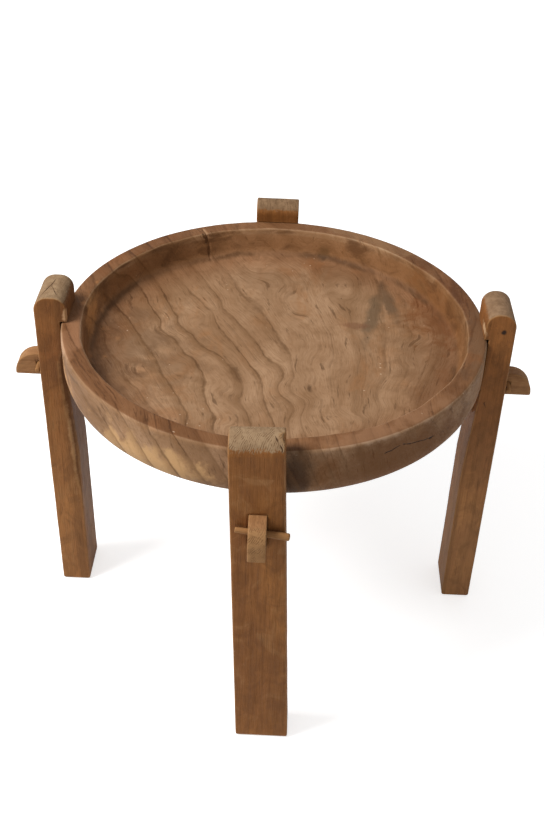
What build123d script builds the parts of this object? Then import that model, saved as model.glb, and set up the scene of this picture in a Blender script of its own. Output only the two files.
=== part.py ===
# Carved wooden bowl in a knock-down stand.
#
# A round bowl, carved from one slab, sits on two crossed rails and is held at its rim by four
# hooked legs. Each rail ends in a rounded tenon that passes through a leg, and a tapered peg
# through the tenon keeps the leg on.
#
# Millimetres, +Z up. The origin is on the floor, under the centre of the bowl. The right leg
# stands on +X and the back leg on +Y.
from build123d import *
from typing import NamedTuple
import os

# ---- bowl ----
rim_height = 500.0  # floor to the top of the rim
bowl_radius = 300.0  # centre to the outside of the wall
bowl_depth = 86.0  # top of the rim to the flat underside
wall_round = 38.0  # radius where the outer wall turns under
rim_width = 27.5  # flat top of the rim
rim_outer_bevel = 3.0
rim_inner_bevel = 1.5
wall_batter = 8.0  # how far the inner wall leans in on its way down
wall_drop = 42.0  # top of the rim to where the inner wall would meet the dished floor
cove_bevel = 12.0  # gouged slope between the inner wall and the floor
dish_drop = 58.0  # top of the rim to the middle of the floor

# ---- legs ----
leg_width = 68.0  # at the top of the head
foot_width = 75.0  # at the floor
leg_thickness = 44.5  # below the bowl
neck_thickness = 34.5  # beside the bowl
neck_drop = 85.0  # top of the rim to where the neck starts to thicken
taper_length = 150.0  # height over which the neck thickens to the full leg
front_head_rise = 38.0  # top of the rim to the top of the head
left_head_rise = 39.0
right_head_rise = 42.0
back_head_rise = 31.0
hook_reach = 11.0  # how far the front and left heads hook in over the rim
short_hook_reach = 7.5  # the same for the right and back heads
head_outer_round = 22.0
head_inner_round = 18.0
leg_edge = 2.0  # bevel along the edges of a leg
foot_edge = 3.0  # bevel round the sole
front_lean = 1.8  # degrees that the front leg leans about its tenon

# ---- rails ----
rail_thickness = 23.0
rail_depth = 54.0  # under the bowl
long_rail_offset = -6.0  # where the long rail and its two legs stand along X
cross_tenon_rise = 16.0  # underside of the bowl to the top of the left and right tenons
cross_tenon_height = 36.5
cross_tenon_reach = 42.0  # past the leg
cross_tip_round = 33.0
long_tenon_rise = 14.0  # underside of the bowl to the top of the front and back tenons
long_tenon_height = 51.5
long_tenon_reach = 31.0
long_tip_round = 26.5
tip_edge = 3.0  # rounding under the tip
rail_edge = 1.2  # bevel along the edges of a rail

# ---- pegs ----
peg_length = 69.0
peg_thin = 7.5  # across the corners, at the end that goes in first
peg_thick = 10.5  # across the corners, at the end that is pulled
peg_flat_count = 12  # whittled faces round the peg
peg_shift = 6.0  # middle of the peg past the middle of the tenon, towards the thick end
peg_rise = 2.0  # peg above the middle of the tenon's height
long_peg_tilt = 7.5  # degrees that the thick ends of the front and back pegs point down
cross_peg_tilt = -5.0  # the same for the left and right pegs, whose thick ends point up
peg_thick_bevel = 2.5
peg_thin_bevel = 1.0

# ---- clearances ----
seat_gap = 0.3  # between the bowl and the wood that holds it
joint_gap = 0.3  # round a tenon, a lap and a peg
saddle_bite = 1.5  # how far the bowl's form is let into a leg's neck
saw_allowance = 6.0  # length of a leg blank below the floor, sawn off level

# ---- places that follow from the sizes ----
bowl_underside = rim_height - bowl_depth
leg_outside = bowl_radius + seat_gap + neck_thickness
leg_inside = leg_outside - leg_thickness
neck_inside = bowl_radius + seat_gap - saddle_bite
neck_bottom = rim_height - neck_drop
taper_bottom = neck_bottom - taper_length
rail_bottom = bowl_underside - rail_depth
lap_height = (bowl_underside + rail_bottom) / 2
peg_radius = leg_outside + joint_gap + peg_thick / 2  # centre of the stand to a peg's axis
peg_share = (peg_length / 2 - peg_shift + rail_thickness / 2) / peg_length  # thin end to hole
hole_diameter = peg_thin + (peg_thick - peg_thin) * peg_share + 2 * joint_gap


class Tenon(NamedTuple):
    """The tenon at each end of a rail."""

    rise: float  # from the bowl's underside to its top
    height: float
    reach: float  # past the leg
    tip_round: float
    peg_tilt: float  # degrees that a peg's thick end points down

    def top(self):
        """Height of the tenon's top."""
        return bowl_underside + self.rise

    def middle(self):
        """Height of the tenon's middle."""
        return self.top() - self.height / 2


def outward_at(angle):
    """Level direction from the middle of the stand towards the leg at this angle."""
    return Vector(1, 0, 0).rotate(Axis.Z, angle)


def across_at(angle, tilt=0.0):
    """Direction across the leg at this angle, turned by a tilt about the outward direction."""
    across = Vector(0, 1, 0).rotate(Axis.Z, angle)
    return across.rotate(Axis((0, 0, 0), outward_at(angle)), tilt)


def rail_middle(angle, height=0.0):
    """Point at a height above the middle of the rail that ends at this angle."""
    return Vector(long_rail_offset if angle % 180 else 0, 0, height)


def side_plane(angle, height=0.0, lean=0.0):
    """Upright plane along the middle of a rail: x runs outward, y runs up from the height."""
    origin = rail_middle(angle, height)
    return Plane(origin=origin, x_dir=outward_at(angle), z_dir=-across_at(angle, lean))


def flank_plane(blank_plane, side, head_top, foot):
    """Plane of one flank of a leg, which widens from its head to the floor. It faces outward."""
    upper = blank_plane.from_local_coords((0, head_top, side * leg_width / 2))
    lower = blank_plane.from_local_coords((0, foot, side * foot_width / 2))
    facing = blank_plane.x_dir.cross(upper - lower) * side
    return Plane(origin=lower, x_dir=blank_plane.x_dir, z_dir=facing)


def face_plane(angle, height):
    """Upright plane at a leg's outer face, looking outward: x runs across, y runs up."""
    origin = rail_middle(angle, height) + outward_at(angle) * leg_outside
    return Plane(origin=origin, x_dir=across_at(angle), z_dir=outward_at(angle))


def leg_inside_at(height):
    """Radius of a leg's inner face at a height below the bowl."""
    share = (neck_bottom - height) / taper_length
    return neck_inside + (leg_inside - neck_inside) * min(max(share, 0.0), 1.0)


def bowl_form(gap=0.0):
    """Half section of the uncarved slab: the space that the bowl needs, grown by a gap."""
    edge = bowl_radius + gap
    base = bowl_underside - gap
    turn = wall_round + gap
    with BuildSketch(Plane.XZ) as section:
        with BuildLine():
            Line((0, base), (edge - turn, base))
            RadiusArc((edge - turn, base), (edge, base + turn), -turn)
            Line((edge, base + turn), (edge, rim_height + gap))
            Line((edge, rim_height + gap), (0, rim_height + gap))
            Line((0, rim_height + gap), (0, base))
        make_face()
    return section.sketch


def hollow_form():
    """Half section of what is carved out of the slab: steep wall, gouged slope and dished floor."""
    lip = (bowl_radius - rim_width, rim_height)
    corner = (lip[0] - wall_batter, rim_height - wall_drop)
    middle = (0, rim_height - dish_drop)
    with BuildSketch(Plane.XZ) as section:
        with BuildLine():
            TangentArc(middle, corner, tangent=(1, 0))
            Line(corner, lip)
            Line(lip, (0, rim_height))
            Line((0, rim_height), middle)
        make_face()
        chamfer(section.vertices().sort_by_distance(corner)[0], cove_bevel)
    return section.sketch


def make_bowl():
    """The bowl: a slab turned under at its outer edge, hollowed, with a bevelled rim."""
    with BuildPart() as bowl:
        revolve(bowl_form(), axis=Axis.Z)
        revolve(hollow_form(), axis=Axis.Z, mode=Mode.SUBTRACT)
        rim_edges = bowl.faces().sort_by(Axis.Z)[-1].edges().sort_by(SortBy.LENGTH)
        chamfer(rim_edges[-1], rim_outer_bevel)
        chamfer(rim_edges[0], rim_inner_bevel)
    bowl.part.label = "bowl"
    return bowl.part


def make_leg(name, angle, tenon, head_rise, reach, lean=0.0):
    """A hooked leg: rounded head over the rim, neck beside the bowl, mortise and sawn foot."""
    middle = tenon.middle()
    hook_inside = bowl_radius - reach
    hook_bottom = rim_height - saddle_bite - middle
    head_top = rim_height + head_rise - middle
    foot = -middle
    stock_end = foot - saw_allowance
    blank_plane = side_plane(angle, middle, lean)
    with BuildPart() as leg:
        with BuildSketch(blank_plane) as outline:
            with BuildLine():
                Polyline(
                    (leg_outside, stock_end),
                    (leg_outside, head_top),
                    (hook_inside, head_top),
                    (hook_inside, hook_bottom),
                    (neck_inside, hook_bottom),
                    (neck_inside, neck_bottom - middle),
                    (leg_inside, taper_bottom - middle),
                    (leg_inside, stock_end),
                    close=True,
                )
            make_face()
            inner_corner, outer_corner = outline.vertices().group_by(Axis.Y)[-1].sort_by(Axis.X)
            fillet(inner_corner, head_inner_round)
            fillet(outer_corner, head_outer_round)
        extrude(amount=foot_width, both=True)
        for side in (1, -1):
            split(bisect_by=flank_plane(blank_plane, side, head_top, foot), keep=Keep.BOTTOM)
        sides = leg.faces().sort_by(Axis(blank_plane.origin, blank_plane.z_dir))
        chamfer(sides[0].edges() + sides[-1].edges(), leg_edge)
        revolve(bowl_form(seat_gap), axis=Axis.Z, mode=Mode.SUBTRACT)
        with BuildSketch(face_plane(angle, middle)):
            Rectangle(rail_thickness + 2 * joint_gap, tenon.height + 2 * joint_gap)
        extrude(amount=-leg_thickness, mode=Mode.SUBTRACT)
        split(bisect_by=Plane.XY, keep=Keep.TOP)
        chamfer(leg.faces().sort_by(Axis.Z)[0].edges(), foot_edge)
    leg.part.label = f"leg_{name}"
    return leg.part


def peg_plane(angle, tenon):
    """Plane across a peg at the middle of its tenon: z runs towards the peg's thick end.

    The side pegs have theirs at the back, and the others to the right as seen from outside.
    """
    origin = rail_middle(angle, tenon.middle() + peg_rise) + outward_at(angle) * peg_radius
    way = -1 if angle == 180 else 1
    along = across_at(angle, -way * tenon.peg_tilt) * way
    return Plane(origin=origin, x_dir=outward_at(angle), z_dir=along)


def make_peg(name, angle, tenon):
    """A tapered peg, whittled to flats and bevelled at both ends."""
    middle = peg_plane(angle, tenon)
    along = Axis(middle.origin, middle.z_dir)
    with BuildPart() as peg:
        with BuildSketch(middle.offset(peg_shift - peg_length / 2)):
            RegularPolygon(peg_thin / 2, peg_flat_count)
        with BuildSketch(middle.offset(peg_shift + peg_length / 2)):
            RegularPolygon(peg_thick / 2, peg_flat_count)
        loft()
        chamfer(peg.faces().sort_by(along)[0].edges(), peg_thin_bevel)
        chamfer(peg.faces().sort_by(along)[-1].edges(), peg_thick_bevel)
    peg.part.label = f"peg_{name}"
    return peg.part


def make_rail(name, angle, tenon, lap_from_below):
    """A scooped rail: it carries the bowl, is half-lapped at the middle and tenoned at both ends."""
    top = tenon.top()
    bottom = top - tenon.height
    shoulder = leg_inside_at(rail_bottom) - joint_gap
    tip = leg_outside + tenon.reach
    tip_round = tenon.tip_round
    with BuildPart() as rail:
        with BuildSketch(side_plane(angle)) as outline:
            with BuildLine():
                Line((0, top), (tip - tip_round, top))
                RadiusArc((tip - tip_round, top), (tip, top - tip_round), tip_round)
                Polyline(
                    (tip, top - tip_round),
                    (tip, bottom),
                    (shoulder, bottom),
                    (shoulder, rail_bottom),
                    (0, rail_bottom),
                )
                mirror(about=Plane.YZ)
            make_face()
            for tip_corners in (outline.vertices().group_by(Axis.X)[i] for i in (0, -1)):
                fillet(tip_corners.sort_by(Axis.Y)[0], tip_edge)
        extrude(amount=rail_thickness / 2, both=True)
        chamfer(rail.faces().filter_by(side_plane(angle)).edges(), rail_edge)
        revolve(bowl_form(seat_gap), axis=Axis.Z, mode=Mode.SUBTRACT)
        lap_gap = joint_gap / 2
        lap_plane = Plane.XY.offset(lap_height + lap_gap if lap_from_below else lap_height - lap_gap)
        with BuildSketch(lap_plane), Locations((long_rail_offset, 0)):
            Rectangle(rail_thickness + 2 * joint_gap, rail_thickness + 2 * joint_gap)
        extrude(amount=-rail_depth if lap_from_below else rail_depth, mode=Mode.SUBTRACT)
        for end_angle in (angle, angle + 180):
            with BuildSketch(peg_plane(end_angle, tenon)):
                Circle(hole_diameter / 2)
            extrude(amount=rail_thickness, both=True, mode=Mode.SUBTRACT)
    rail.part.label = f"rail_{name}"
    return rail.part


cross_tenon = Tenon(
    cross_tenon_rise, cross_tenon_height, cross_tenon_reach, cross_tip_round, cross_peg_tilt
)
long_tenon = Tenon(
    long_tenon_rise, long_tenon_height, long_tenon_reach, long_tip_round, long_peg_tilt
)

pieces = [
    make_bowl(),
    make_leg("right", 0, cross_tenon, right_head_rise, short_hook_reach),
    make_leg("back", 90, long_tenon, back_head_rise, short_hook_reach),
    make_leg("left", 180, cross_tenon, left_head_rise, hook_reach),
    make_leg("front", 270, long_tenon, front_head_rise, hook_reach, front_lean),
    make_rail("cross", 0, cross_tenon, lap_from_below=True),
    make_rail("long", 90, long_tenon, lap_from_below=False),
    make_peg("right", 0, cross_tenon),
    make_peg("back", 90, long_tenon),
    make_peg("left", 180, cross_tenon),
    make_peg("front", 270, long_tenon),
]

os.makedirs("parts", exist_ok=True)
for piece in pieces:
    export_step(piece, f"parts/{piece.label}.step")
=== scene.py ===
"""Looks of the carved wooden bowl and its knock-down stand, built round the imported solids.

Metres, +Z up, the same frame as the solids: the origin is on the floor under the centre of the
bowl, the right leg stands on +X and the back leg on +Y.
"""
import sys
import logging
import math
from collections.abc import Callable, Iterable, Sequence
from dataclasses import dataclass, field
from enum import Enum

import bmesh
import bpy
from mathutils import Matrix, Vector, noise


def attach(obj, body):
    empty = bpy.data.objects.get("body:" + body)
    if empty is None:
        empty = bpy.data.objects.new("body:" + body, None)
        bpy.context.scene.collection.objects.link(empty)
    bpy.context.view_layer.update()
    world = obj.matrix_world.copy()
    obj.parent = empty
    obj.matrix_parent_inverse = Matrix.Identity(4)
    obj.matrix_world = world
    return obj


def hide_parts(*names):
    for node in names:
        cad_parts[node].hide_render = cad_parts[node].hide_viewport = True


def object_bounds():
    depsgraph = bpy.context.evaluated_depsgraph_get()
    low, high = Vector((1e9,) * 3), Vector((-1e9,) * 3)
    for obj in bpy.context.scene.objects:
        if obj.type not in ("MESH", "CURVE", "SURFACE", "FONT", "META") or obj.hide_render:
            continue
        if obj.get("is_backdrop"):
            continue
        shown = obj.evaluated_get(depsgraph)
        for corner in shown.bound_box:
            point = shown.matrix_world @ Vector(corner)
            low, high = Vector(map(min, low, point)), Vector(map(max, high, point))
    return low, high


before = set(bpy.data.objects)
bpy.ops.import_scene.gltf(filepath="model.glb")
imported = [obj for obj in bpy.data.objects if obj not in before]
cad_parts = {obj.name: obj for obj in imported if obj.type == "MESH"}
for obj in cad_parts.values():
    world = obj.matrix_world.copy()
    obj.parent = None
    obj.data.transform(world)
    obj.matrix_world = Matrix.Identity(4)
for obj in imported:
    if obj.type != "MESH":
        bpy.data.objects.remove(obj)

log = logging.getLogger("scene")
IMAGE_WIDTH, IMAGE_HEIGHT = 545, 818
RING_GAP = 0.034  # between two counted rings of the bowl's slab
FINE, MIDDLE, COARSE = 0.0035, 0.004, 0.008  # grids that pieces are divided into
ORIGIN, HALF = (0.0, 0.0, 0.0), (0.5, 0.5, 0.5)
Colour = tuple[float, float, float, float]
Point = tuple[float, float, float]
BMesh, BMVert, BMEdge = bmesh.types.BMesh, bmesh.types.BMVert, bmesh.types.BMEdge


class Station(Enum):
    """The four places round the bowl where a leg stands, by the angle from +X in degrees."""

    RIGHT = 0
    BACK = 90
    LEFT = 180
    FRONT = 270

    @property
    def label(self) -> str:
        """The word used in the names of the pieces."""
        return self.name.lower()

    @property
    def turn(self) -> Matrix:
        """Turns the station's own frame (x outward, y across, z up) into the frame of the whole."""
        return Matrix.Rotation(math.radians(self.value), 4, "Z")


class Slot(Enum):
    """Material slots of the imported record."""

    BOWL = "bowl_wood"
    LEG = "leg_wood"
    RAIL = "rail_wood"
    PEG = "peg_wood"


def tone(code: str) -> Colour:
    """Turns a display colour into the linear colour that shaders take.

    Args:
        code: six hexadecimal digits, red, green and blue.

    Returns:
        The linear colour with an alpha of 1.
    """
    parts = [int(code[i : i + 2], 16) / 255 for i in (0, 2, 4)]
    linear = [p / 12.92 if p <= 0.04045 else ((p + 0.055) / 1.055) ** 2.4 for p in parts]
    return (linear[0], linear[1], linear[2], 1.0)


def smooth(value: float, low: float, high: float) -> float:
    """Rises smoothly from 0 at low to 1 at high."""
    share = min(max((value - low) / (high - low), 0.0), 1.0)
    return share * share * (3 - 2 * share)


# ---- Shader trees ----


class Term:
    """An output in a shader tree. Arithmetic with it adds nodes to the tree."""

    def __init__(self, socket: bpy.types.NodeSocket) -> None:
        """Wraps an output."""
        self.socket = socket
        self.graph = Graph(socket.id_data)

    def __add__(self, other: object) -> "Term":
        """The sum."""
        return self.graph.maths("ADD", self, other)

    def __sub__(self, other: object) -> "Term":
        """The difference."""
        return self.graph.maths("SUBTRACT", self, other)

    def __rsub__(self, other: object) -> "Term":
        """The difference from a number."""
        return self.graph.maths("SUBTRACT", other, self)

    def __mul__(self, other: object) -> "Term":
        """The product, part by part, or a vector scaled by one number."""
        scale = Graph.wide(self) and not Graph.wide(other)
        return self.graph.maths(*(("SCALE", self, None, None) if scale else ("MULTIPLY", self)), other)

    def __truediv__(self, other: object) -> "Term":
        """The quotient."""
        return self.graph.maths("DIVIDE", self, other)

    def __rtruediv__(self, other: object) -> "Term":
        """A number divided by this."""
        return self.graph.maths("DIVIDE", other, self)

    def __abs__(self) -> "Term":
        """The size without its sign."""
        return self.graph.maths("ABSOLUTE", self)

    def dot(self, other: "Term") -> "Term":
        """The dot product with another vector."""
        return self.graph.maths("DOT_PRODUCT", self, other, output="Value")

    def length(self) -> "Term":
        """The vector's length."""
        return self.graph.maths("LENGTH", self, output="Value")

    def parts(self) -> "list[Term]":
        """The vector's three numbers."""
        return [Term(part) for part in self.graph.add("ShaderNodeSeparateXYZ", {0: self}).outputs]

    def drift(self, reach: float) -> "Term":
        """The colour that belongs to a noise's value, as a shift about nothing of a given reach."""
        return (Term(self.socket.node.outputs[1]) - HALF) * reach

    def between(self, low: object, high: object, start: float = 0.0, end: float = 1.0) -> "Term":
        """Maps the value smoothly from low..high to start..end."""
        inputs = {"Value": self, "From Min": low, "From Max": high, "To Min": start, "To Max": end}
        return Term(self.graph.add("ShaderNodeMapRange", inputs, interpolation_type="SMOOTHSTEP").outputs[0])


class Graph:
    """Adds nodes to one shader tree and wires them."""

    def __init__(self, tree: bpy.types.NodeTree) -> None:
        """Starts on a tree."""
        self.tree = tree

    @staticmethod
    def wide(value: object) -> bool:
        """Whether a value is a vector or a colour."""
        return value.socket.type != "VALUE" if isinstance(value, Term) else isinstance(value, tuple)

    def plug(self, socket: bpy.types.NodeSocket, value: object) -> None:
        """Links a term to a socket, or writes a constant on it.

        Args:
            socket: the input.
            value: a term, a constant, or nothing.
        """
        if isinstance(value, Term):
            self.tree.links.new(value.socket, socket)
        elif value is not None:
            socket.default_value = value

    def add(self, kind: str, inputs: dict | None = None, **settings: object) -> bpy.types.Node:
        """Adds one node.

        Args:
            kind: the node's type name.
            inputs: terms or constants for its inputs, by name or by place.
            settings: properties to set on it.

        Returns:
            The new node.
        """
        node = self.tree.nodes.new(kind)
        for name, value in settings.items():
            setattr(node, name, value)
        for key, value in (inputs or {}).items():
            self.plug(node.inputs[key], value)
        return node

    def maths(self, operation: str, *values: object, output: object = 0, **settings: object) -> Term:
        """Adds a node that works on numbers, or on vectors if one of the values is a vector.

        Args:
            operation: what it does.
            values: what it does it to.
            output: which output is wanted, by name or by place.
            settings: properties to set on it.

        Returns:
            The result.
        """
        kind = "ShaderNodeVectorMath" if any(map(self.wide, values)) else "ShaderNodeMath"
        node = self.add(kind, dict(enumerate(values)), operation=operation, **settings)
        return Term(node.outputs[output])

    def blend(self, factor: object, low: object, high: object, mode: str = "MIX") -> Term:
        """Mixes two colours, or two numbers, by a factor.

        Args:
            factor: the share of the second.
            low: the first.
            high: the second.
            mode: how colours are mixed.

        Returns:
            The mixture.
        """
        if self.wide(low):
            node = self.add("ShaderNodeMix", {0: factor, 6: low, 7: high}, data_type="RGBA", blend_type=mode)
            return Term(node.outputs[2])
        return Term(self.add("ShaderNodeMix", {0: factor, 2: low, 3: high}, data_type="FLOAT").outputs[0])

    def noise(self, vector: Term, scale: object, detail: float = 3.0, rough: float = 0.5,
              distortion: float = 0.0) -> Term:
        """Adds a 3-D noise.

        Args:
            vector: the place.
            scale: how fine it is.
            detail: how many finer layers it has.
            rough: how strong each finer layer is.
            distortion: how far it is bent by itself.

        Returns:
            Its value.
        """
        inputs = dict(zip(("Vector", "Scale", "Detail", "Roughness", "Distortion"),
                          (vector, scale, detail, rough, distortion)))
        return Term(self.add("ShaderNodeTexNoise", inputs, noise_dimensions="3D").outputs[0])

    def join(self, *parts: object) -> Term:
        """Puts three numbers together as a vector."""
        return Term(self.add("ShaderNodeCombineXYZ", dict(enumerate(parts))).outputs[0])

    def mapped(self, vector: Term, place: Point = (0, 0, 0), turn: Point = (0, 0, 0),
               scale: Point = (1, 1, 1)) -> Term:
        """Moves, turns and scales a pattern's coordinates.

        Args:
            vector: the coordinates.
            place: how far they are moved.
            turn: how far they are turned, in degrees.
            scale: what they are multiplied by.

        Returns:
            The new coordinates.
        """
        inputs = {"Vector": vector, "Location": place, "Rotation": tuple(map(math.radians, turn)),
                  "Scale": scale}
        return Term(self.add("ShaderNodeMapping", inputs, vector_type="POINT").outputs[0])

    def stored(self, name: str) -> Term:
        """Reads what a mesh holds under a name."""
        node = self.add("ShaderNodeAttribute", attribute_type="GEOMETRY", attribute_name=name)
        return Term(node.outputs["Fac"])


class Effect:
    """A shader effect kept as one node group: a function wires it, and its defaults are the inputs."""

    def __init__(self, wire: Callable[..., dict[str, Term]]) -> None:
        """Keeps the function that wires the effect."""
        self.wire = wire
        self.label = wire.__name__.replace("_", " ")

    def tree(self) -> bpy.types.NodeTree:
        """Makes the effect's node group.

        Returns:
            The group, or the one that was made before.
        """
        found = bpy.data.node_groups.get(self.label)
        if found:
            return found
        tree = bpy.data.node_groups.new(self.label, "ShaderNodeTree")
        for name, value in self.wire.__kwdefaults__.items():
            kind = "NodeSocketFloat" if isinstance(value, float) else "NodeSocketVector"
            tree.interface.new_socket(name, in_out="INPUT", socket_type=kind).default_value = value
        graph = Graph(tree)
        source = graph.add("NodeGroupInput").outputs
        made = self.wire(graph, **{name: Term(source[name]) for name in self.wire.__kwdefaults__})
        for name in made:
            tree.interface.new_socket(name, in_out="OUTPUT", socket_type="NodeSocketFloat")
        graph.add("NodeGroupOutput", made)
        return tree

    def __call__(self, graph: Graph, **inputs: object) -> dict[str, Term]:
        """Places the group in a tree, with its inputs by name, and returns its outputs by name."""
        node = graph.add("ShaderNodeGroup", inputs, node_tree=self.tree(), label=self.label)
        return {output.name: Term(output) for output in node.outputs}


@Effect
def rings(graph: Graph, *, vector: Term = ORIGIN, pith: Term = ORIGIN, spacing: Term = 0.01,
          wave: Term = 0.004, wave_size: Term = 0.1, line: Term = 0.12) -> dict[str, Term]:
    """Growth rings round a pith that runs along Z.

    Args:
        graph: the tree of the effect.
        vector: the place in the wood.
        pith: a point of the pith.
        spacing: how far apart the rings are.
        wave: how far they wander.
        wave_size: how long their waves are.
        line: how broad the dark line of a ring is.

    Returns:
        The dark lines and the tone.
    """
    waves = graph.noise(vector * (1.0, 1.0, 0.3), 1.0 / wave_size, 4.0, 0.55)
    place = vector + waves.drift(wave) - pith
    count = (place * (1.0, 1.0, 0.0)).length() / spacing
    uneven = graph.add("ShaderNodeTexNoise", {"W": count * 0.31, "Scale": 1.0, "Detail": 2.0},
                       noise_dimensions="1D")
    uneven = Term(uneven.outputs[0])
    count = count + uneven * 2.2
    ring = graph.maths("FRACT", count)
    rise = graph.maths("POWER", ring.between(0.94 - line * 3.0, 0.95), 2.0)
    year = graph.add("ShaderNodeTexWhiteNoise", {"W": graph.maths("FLOOR", count)}, noise_dimensions="1D")
    patch = graph.noise(vector, 34.0, 3.0, 0.6).between(0.38, 0.6, 0.15, 1.0)
    strength = Term(year.outputs[0]).between(0.15, 0.95) * patch
    return {"line": rise * ring.between(0.95, 1.0, 1.0, 0.0) * strength, "tone": uneven}


@Effect
def fibres(graph: Graph, *, vector: Term = ORIGIN, fineness: Term = 900.0,
           length: Term = 22.0) -> dict[str, Term]:
    """Fine fibres along Z, broader bands, and short dark pores between them.

    Args:
        graph: the tree of the effect.
        vector: the place in the wood.
        fineness: how fine the fibres are.
        length: how many times longer than broad they are.

    Returns:
        The fibres, the pores and the bands.
    """
    along = vector * graph.join(1.0, 1.0, 1.0 / length)
    return {"streak": graph.noise(along, fineness, 3.0, 0.6, 0.3),
            "pore": graph.noise(along, fineness * 0.75, 1.0, 0.5).between(0.63, 0.72),
            "band": graph.noise(along, fineness * 0.14, 3.0, 0.6, 0.2)}


@Effect
def stain(graph: Graph, *, vector: Term = ORIGIN, centre: Term = ORIGIN, size: Term = (0.05, 0.05, 0.05),
          turn: Term = 0.0, ragged: Term = 0.5, grain: Term = 0.03) -> dict[str, Term]:
    """A soft-edged patch: an oval round a centre, turned about Z, with an edge frayed by noise.

    Args:
        graph: the tree of the effect.
        vector: the place in the wood.
        centre: the middle of the patch.
        size: half its extent each way.
        turn: how far it is turned, in degrees.
        ragged: how far its edge is frayed.
        grain: how coarse the fraying is.

    Returns:
        Where the patch is.
    """
    angle = graph.maths("RADIANS", turn)
    turned = graph.add("ShaderNodeVectorRotate", {"Vector": vector - centre, "Angle": angle},
                       rotation_type="Z_AXIS")
    reach = (Term(turned.outputs[0]) / size).length()
    fray = graph.noise(vector, 1.0 / grain, 4.0, 0.6)
    return {"mask": (reach + (fray - 0.5) * ragged * 3.0).between(1.0, 0.35)}


@Effect
def segment(graph: Graph, *, vector: Term = ORIGIN, start: Term = ORIGIN, end: Term = (0.1, 0.0, 0.0),
            start_width: Term = 0.002, end_width: Term = 0.002) -> dict[str, Term]:
    """How far a place is from the line between two points.

    Args:
        graph: the tree of the effect.
        vector: the place in the wood.
        start: where the line starts.
        end: where it ends.
        start_width: half its width at the start.
        end_width: half its width at the end.

    Returns:
        The distance in units of the width.
    """
    away, run = vector - start, end - start
    share = graph.maths("DIVIDE", away.dot(run), run.dot(run), use_clamp=True)
    return {"reach": (away - run * share).length() / graph.blend(share, start_width, end_width)}


@Effect
def veining(graph: Graph, *, ring: Term = 0.0, strength: Term = 0.5, uneven: Term = 1.0,
            width: Term = 0.075) -> dict[str, Term]:
    """Dark veins where the count of the tree's rings is whole, each shaded softly on its outer side.

    Args:
        graph: the tree of the effect.
        ring: the count of the rings.
        strength: how dark the veins are.
        uneven: how much narrower they are than their width.
        width: their width, in rings.

    Returns:
        The dark cores and the shade outside them.
    """
    share = graph.maths("FRACT", ring + 0.5)
    core = (abs(share - 0.5) * uneven).between(width, 0.0)
    return {"core": core * strength,
            "shade": share.between(0.0, 0.52) * share.between(0.60, 0.50) * strength}


@Effect
def worm_holes(graph: Graph, *, vector: Term = ORIGIN, density: Term = 26.0,
               radius: Term = 0.0011) -> dict[str, Term]:
    """Small round holes at some of the cell centres of a Voronoi pattern.

    Args:
        graph: the tree of the effect.
        vector: the place in the wood.
        density: how many cells there are to a metre.
        radius: how large a hole is.

    Returns:
        Where the holes are.
    """
    cells = graph.add("ShaderNodeTexVoronoi", {"Vector": vector, "Scale": density},
                      voronoi_dimensions="3D", feature="F1").outputs
    dot = Term(cells["Distance"]).between(radius * density, radius * density * 0.6)
    return {"mask": dot * graph.maths("GREATER_THAN", Term(cells["Color"]).parts()[0], 0.55)}


@Effect
def saw_marks(graph: Graph, *, vector: Term = ORIGIN, direction: Term = (1.0, 0.0, 0.0),
              spacing: Term = 0.0023) -> dict[str, Term]:
    """Fine parallel scores left by a saw, square to a direction, bent and thinned by noise.

    Args:
        graph: the tree of the effect.
        vector: the place in the wood.
        direction: what the scores are square to.
        spacing: how far apart they are.

    Returns:
        Where the scores are.
    """
    along = vector.dot(direction) / spacing + graph.noise(vector, 60.0, 2.0, 0.5) * 3.0
    patch = graph.noise(vector, 140.0, 3.0, 0.7).between(0.42, 0.62)
    return {"score": graph.maths("SINE", along * math.tau).between(0.1, 0.9) * patch}


@Effect
def edge_wear(graph: Graph, *, vector: Term = ORIGIN, edge: Term = 0.0,
              amount: Term = 0.6) -> dict[str, Term]:
    """An uneven band of rubbed wood along the marked edges of a piece."""
    broken = graph.noise(vector, 55.0, 4.0, 0.65).between(0.35, 0.6, 0.25, 1.0)
    return {"mask": edge.between(0.15, 0.9) * broken * amount}


# ---- Finishes ----


@dataclass(frozen=True)
class Patch:
    """A patch of colour, for marks in the wood and for painted light and shade: where it is, how large, how
    it is turned, how strong and how ragged.
    """

    centre: Point
    size: Point
    turn: float
    strength: float
    colour: str
    ragged: float = 0.5


@dataclass(frozen=True)
class Line:
    """A crack or a vein through several points, with half its width; a deep one is felt in the relief."""

    points: tuple[Point, ...]
    width: float
    strength: float
    colour: str = ""
    deep: bool = False


@dataclass(frozen=True)
class Vein:
    """A dark ring of the tree where it shows in the bowl: which, how dark, and its course in mm."""

    ring: float
    strength: float
    course: tuple[tuple[float, float], ...]


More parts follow.
